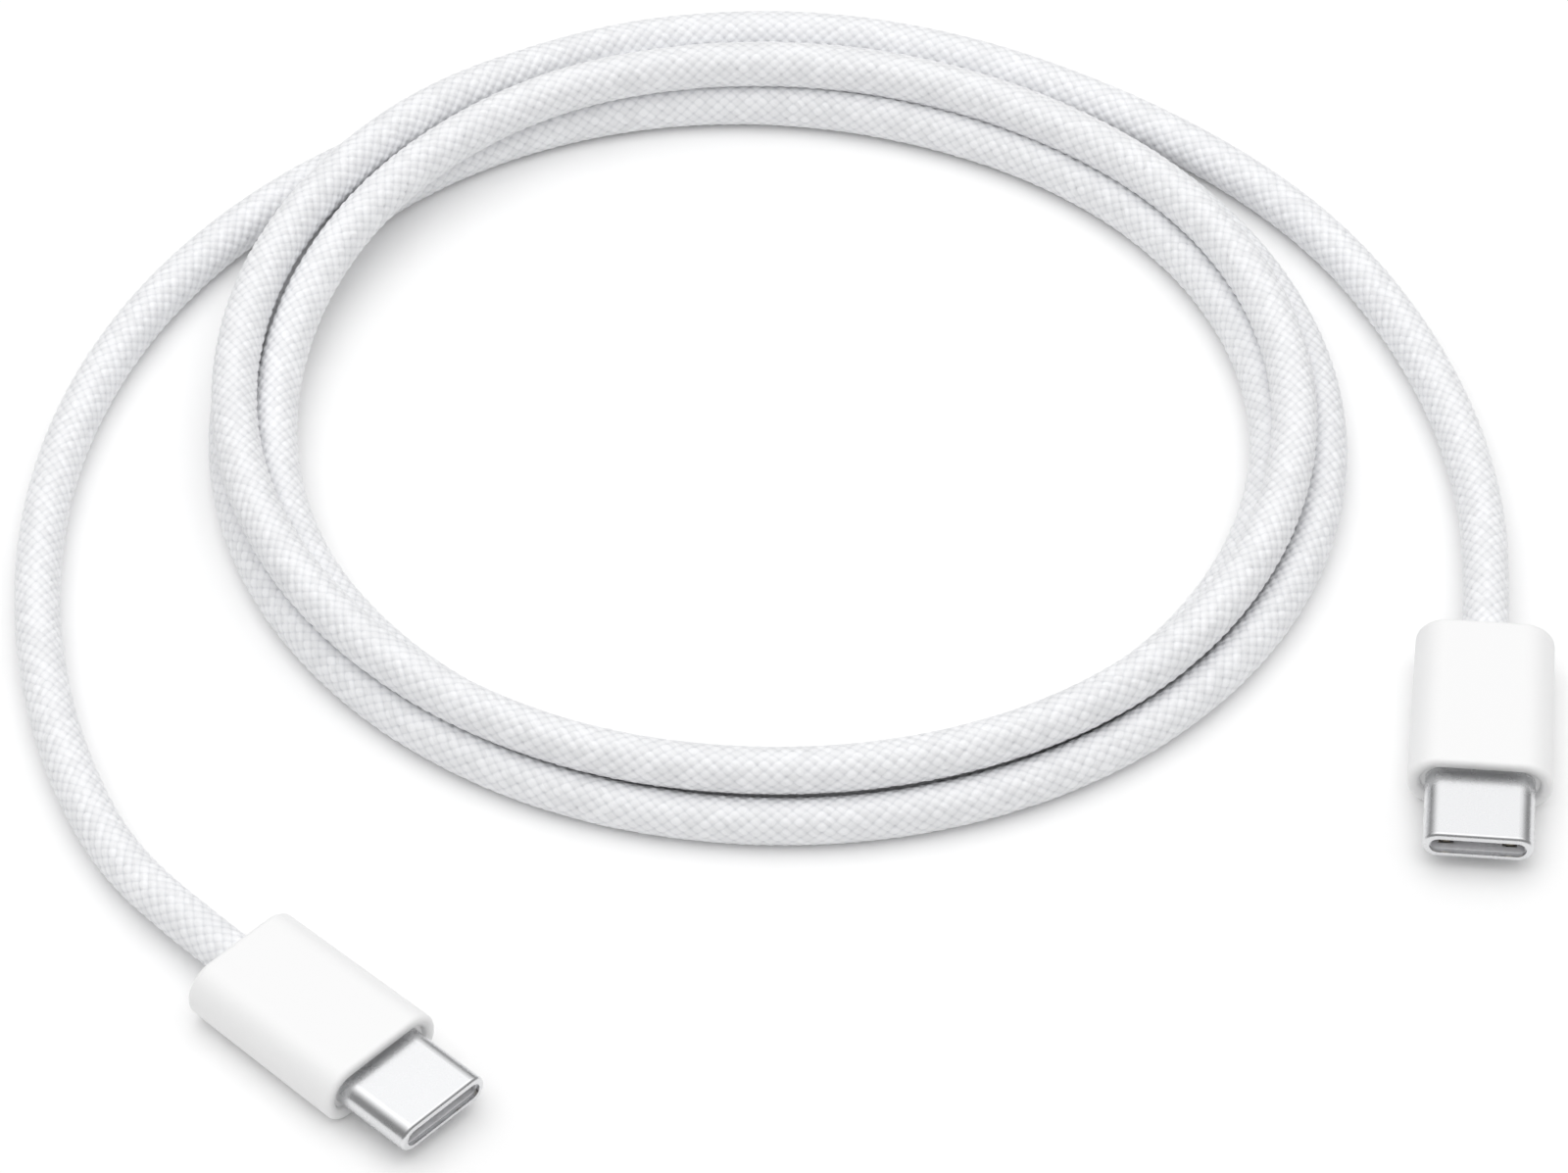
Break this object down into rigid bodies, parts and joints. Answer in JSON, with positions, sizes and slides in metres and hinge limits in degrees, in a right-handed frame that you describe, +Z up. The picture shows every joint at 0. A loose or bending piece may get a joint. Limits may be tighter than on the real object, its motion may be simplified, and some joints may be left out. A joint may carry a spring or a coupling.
{
  "type": "charging cable",
  "caption": "Coiled charging cable with a white woven jacket and the same flat reversible plug, white housing and oval steel shell, on each end",
  "frame": {"origin": "On the table, at the middle of the box round the two plugs, with the cable left out", "axes": "+X from the first plug across to the second, the longest way across the two plugs; +Y away from the plugs' mouths and over the coil; +Z up, the thinnest way through the plugs"},
  "size_m": [0.1172, 0.1215, 0.0071],
  "materials": {
    "woven_jacket": "fine diamond weave",
    "white_housing": "satin moulded",
    "nose_ring": "satin moulded",
    "steel": "drawn and tumbled",
    "grey_insulator": "moulded",
    "chip_package": "moulded",
    "gold_plate": "gold plated",
    "circuit_board": "solder resist",
    "capacitor": "matt",
    "tinned_steel": "tinned",
    "inner_mould": "as moulded",
    "core": "soft",
    "red_wire": "extruded",
    "grey_wire": "extruded",
    "blue_wire": "extruded",
    "green_wire": "extruded"
  },
  "bodies": {
    "root": {"coiled_cable": "woven_jacket", "first_loose_cable": "woven_jacket", "second_loose_cable": "woven_jacket", "first_housing": "white_housing", "first_nose_ring": "nose_ring", "first_connector_shell": "steel", "first_front_insulator": "grey_insulator", "first_ground_springs": "steel", "first_contact_carrier": "grey_insulator", "first_upper_contacts": "gold_plate", "first_lower_contacts": "gold_plate", "first_latch_plate": "steel", "first_paddle_board": "circuit_board", "first_marker_chip": "chip_package", "first_board_capacitors": "capacitor", "first_upper_shield_can": "tinned_steel", "first_lower_shield_can": "tinned_steel", "first_inner_mould": "inner_mould", "first_crimp_ring": "tinned_steel", "first_shield_stub": "tinned_steel", "first_core_stub": "core", "first_power_wire": "red_wire", "first_ground_wire": "grey_wire", "first_config_wire": "blue_wire", "first_data_wires": "green_wire", "second_housing": "white_housing", "second_nose_ring": "nose_ring", "second_connector_shell": "steel", "second_front_insulator": "grey_insulator", "second_ground_springs": "steel", "second_contact_carrier": "grey_insulator", "second_upper_contacts": "gold_plate", "second_lower_contacts": "gold_plate", "second_latch_plate": "steel", "second_paddle_board": "circuit_board", "second_marker_chip": "chip_package", "second_board_capacitors": "capacitor", "second_upper_shield_can": "tinned_steel", "second_lower_shield_can": "tinned_steel", "second_inner_mould": "inner_mould", "second_crimp_ring": "tinned_steel", "second_shield_stub": "tinned_steel", "second_core_stub": "core", "second_power_wire": "red_wire", "second_ground_wire": "grey_wire", "second_config_wire": "blue_wire", "second_data_wires": "green_wire"}
  },
  "joints": []
}
